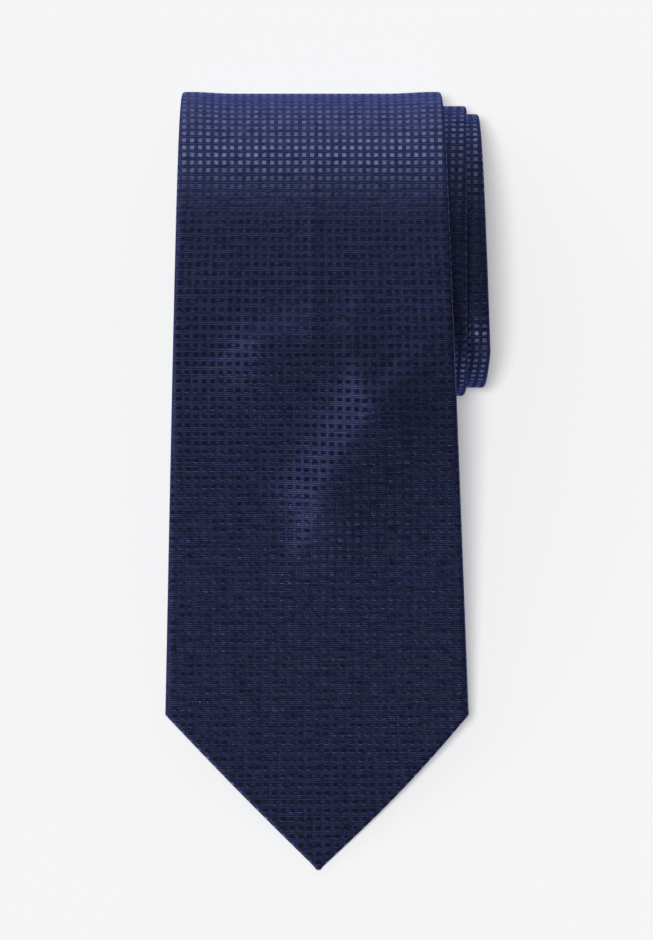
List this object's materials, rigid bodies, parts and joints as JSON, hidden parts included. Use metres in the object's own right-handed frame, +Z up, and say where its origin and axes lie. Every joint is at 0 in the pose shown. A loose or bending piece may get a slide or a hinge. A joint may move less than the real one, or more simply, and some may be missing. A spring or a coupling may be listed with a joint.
{
  "type": "necktie",
  "caption": "Rolled-up woven necktie with its pointed front blade laid over the roll; the blade folds open to show lining, keeper loop and stitching.",
  "frame": {"origin": "centre of the packed tie's footprint, on the surface that it lies on", "axes": "+X across the tie, to the side where the inner turns show; +Y along the tie, from the blade's point to the fold; +Z up, out of the blade's face"},
  "size_m": [0.0901, 0.2183, 0.042],
  "materials": {
    "woven_silk": "navy jacquard weave of small squares, soft sheen",
    "interlining": "brushed wool blend",
    "lining_satin": "navy satin",
    "woven_label": "black taffeta, blank",
    "care_tag": "white satin, blank",
    "sewing_thread": "navy thread"
  },
  "bodies": {
    "roll": {"blade_shell_roll": "woven_silk", "neck_shell": "woven_silk", "tail_shell": "woven_silk", "interlining_roll": "interlining", "slip_stitch_roll": "sewing_thread", "tail_tipping": "lining_satin", "bar_tack_tail": "sewing_thread", "blade_seam_thread": "sewing_thread", "tail_seam_thread": "sewing_thread"},
    "fold": {"blade_shell_fold": "woven_silk", "interlining_fold": "interlining", "slip_stitch_fold": "sewing_thread"},
    "blade_top": {"blade_shell_top": "woven_silk", "interlining_top": "interlining", "slip_stitch_top": "sewing_thread"},
    "blade_point": {"blade_shell_point": "woven_silk", "interlining_point": "interlining", "slip_stitch_point": "sewing_thread", "blade_tipping": "lining_satin", "keeper_loop": "woven_silk", "woven_label": "woven_label", "care_tag": "care_tag", "bar_tack_blade": "sewing_thread"}
  },
  "joints": [
    {"name": "fold_lower_bend", "type": "hinge", "parent": "roll", "child": "fold", "pos_m": [0, 0.10849, 0.00494], "axis": [-1, 0, 0], "range_deg": [0, 90]},
    {"name": "fold_upper_bend", "type": "hinge", "parent": "fold", "child": "blade_top", "pos_m": [0, 0.09921, 0.03088], "axis": [-1, 0, 0], "range_deg": [0, 90]},
    {"name": "flap_straighten", "type": "hinge", "parent": "blade_top", "child": "blade_point", "pos_m": [0, 0.04593, 0.04105], "axis": [-1, 0, 0], "range_deg": [0, 15]}
  ],
  "couplings": [
    {"joint": "fold_upper_bend", "follows": "fold_lower_bend", "ratio": 1},
    {"joint": "flap_straighten", "follows": "fold_lower_bend", "ratio": 0.1666}
  ]
}
